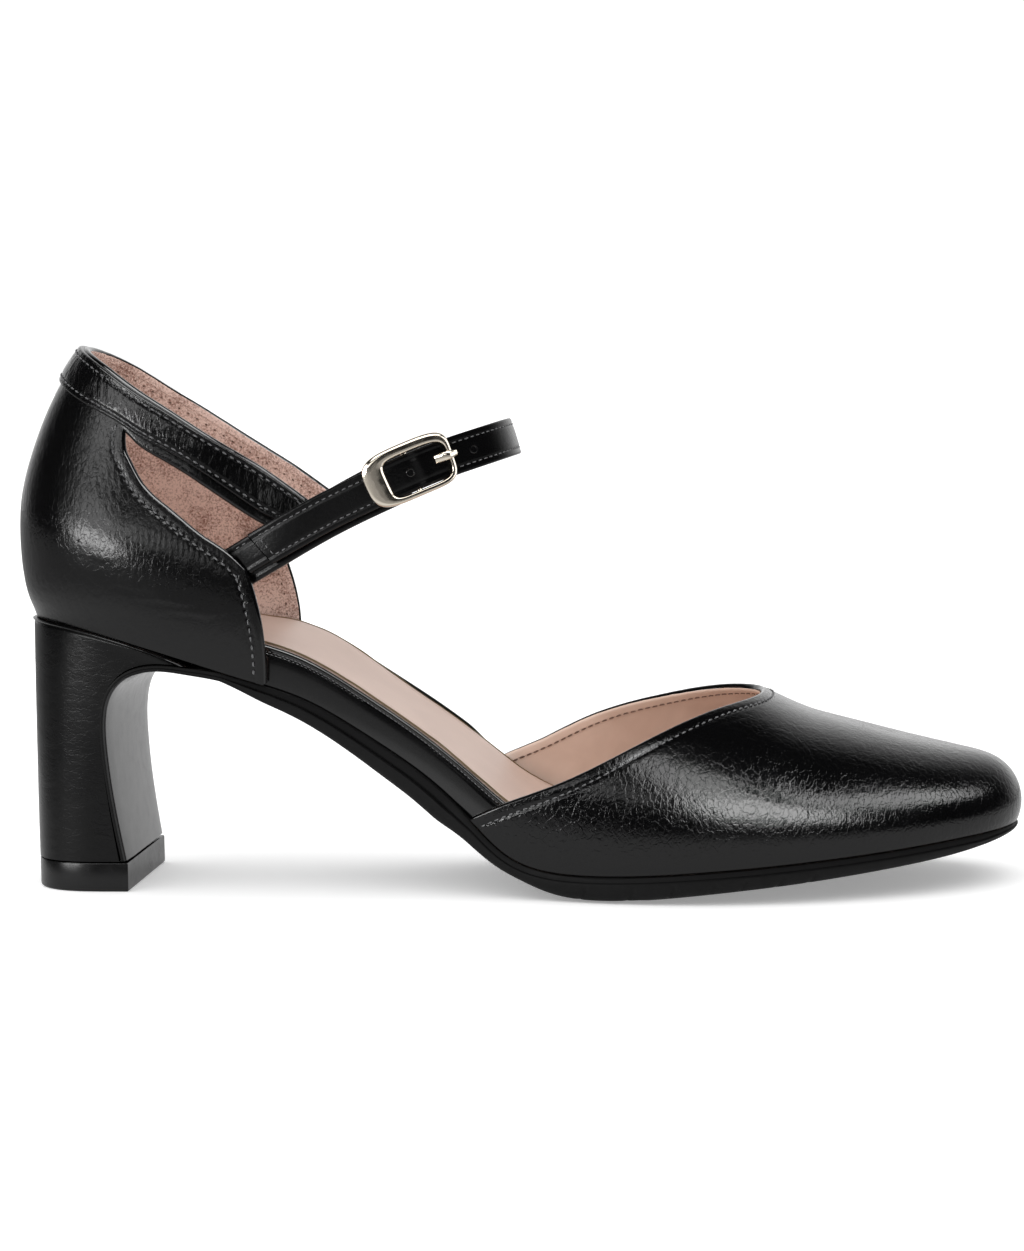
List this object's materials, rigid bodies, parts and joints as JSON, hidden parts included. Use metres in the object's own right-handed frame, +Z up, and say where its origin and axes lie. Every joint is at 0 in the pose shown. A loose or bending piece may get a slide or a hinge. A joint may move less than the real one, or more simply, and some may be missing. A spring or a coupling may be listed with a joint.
{
  "type": "mary jane pump",
  "caption": "Leather mary jane pump for the right foot: closed toe and heel, open waist, buckled ankle strap, wrapped block heel.",
  "frame": {"origin": "on the floor, under the middle of the shoe's bounding box", "axes": "+X towards the toe, +Y to the inner side of the foot, +Z up"},
  "size_m": [0.2424, 0.0796, 0.1307],
  "materials": {
    "vamp_leather": "glossy crinkled",
    "counter_leather": "glossy crinkled",
    "band_leather": "glossy crinkled",
    "strap_leather": "glossy",
    "pale_gold": "polished",
    "footbed_patent": "patent",
    "nude_sock": "satin",
    "sole_rubber": "matte",
    "heel_leather": "glossy crinkled",
    "lift_rubber": "matte"
  },
  "bodies": {
    "root": {"vamp": "vamp_leather", "counter": "counter_leather", "collar_band": "band_leather", "strap_tab": "strap_leather", "strap_fold": "strap_leather", "ankle_strap": "strap_leather", "buckle": "pale_gold", "buckle_prong": "pale_gold", "footbed": "footbed_patent", "insole": "nude_sock", "outsole": "sole_rubber", "heel": "heel_leather", "top_lift": "lift_rubber"}
  },
  "joints": []
}
